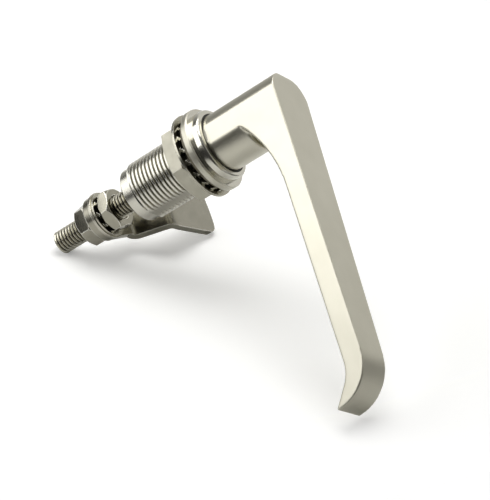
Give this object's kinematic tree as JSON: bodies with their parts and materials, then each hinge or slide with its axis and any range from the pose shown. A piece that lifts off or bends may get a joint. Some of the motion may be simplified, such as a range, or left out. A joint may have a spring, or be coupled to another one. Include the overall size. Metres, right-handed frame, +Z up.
{
  "type": "cabinet handle lock",
  "caption": "Quarter-turn cabinet handle lock: L-shaped stainless handle, threaded barrel with panel nut, and a cranked cam clamped between two nuts on a threaded stud.",
  "frame": {"origin": "on the spindle axis, in the plane of the flange's back face, which is the panel seat", "axes": "+Y along the spindle into the cabinet, +Z up, the handle hangs along -Z, the cam reaches towards +X"},
  "size_m": [0.0576, 0.098, 0.115],
  "materials": {
    "cast_stainless": "investment-cast stainless steel, fine satin blast",
    "polished_stainless": "turned stainless steel, polished",
    "turned_stainless": "turned stainless steel",
    "nut_stainless": "cold-formed stainless steel, tumbled",
    "cam_steel": "stamped stainless sheet, tumbled",
    "spring_steel": "spring steel, satin",
    "hard_pin": "ground steel pin",
    "black_rubber": "moulded rubber, matte"
  },
  "bodies": {
    "lock_body": {"housing": "polished_stainless", "dust_seal": "black_rubber", "stop_pin": "hard_pin", "wave_washer": "spring_steel", "thrust_washer": "turned_stainless", "gasket": "black_rubber", "panel_washer": "spring_steel", "panel_nut": "nut_stainless"},
    "handle_and_cam": {"handle": "cast_stainless", "spindle": "turned_stainless", "cross_pin": "hard_pin", "shaft_seal": "black_rubber", "retaining_ring": "spring_steel", "inner_nut": "nut_stainless", "cam_washer": "spring_steel", "plain_washer": "turned_stainless", "cam": "cam_steel", "outer_nut": "nut_stainless"}
  },
  "joints": [
    {"name": "handle_turn", "type": "hinge", "parent": "lock_body", "child": "handle_and_cam", "pos_m": [0, 0, 0], "axis": [0, 1, 0], "range_deg": [0, 90]}
  ]
}
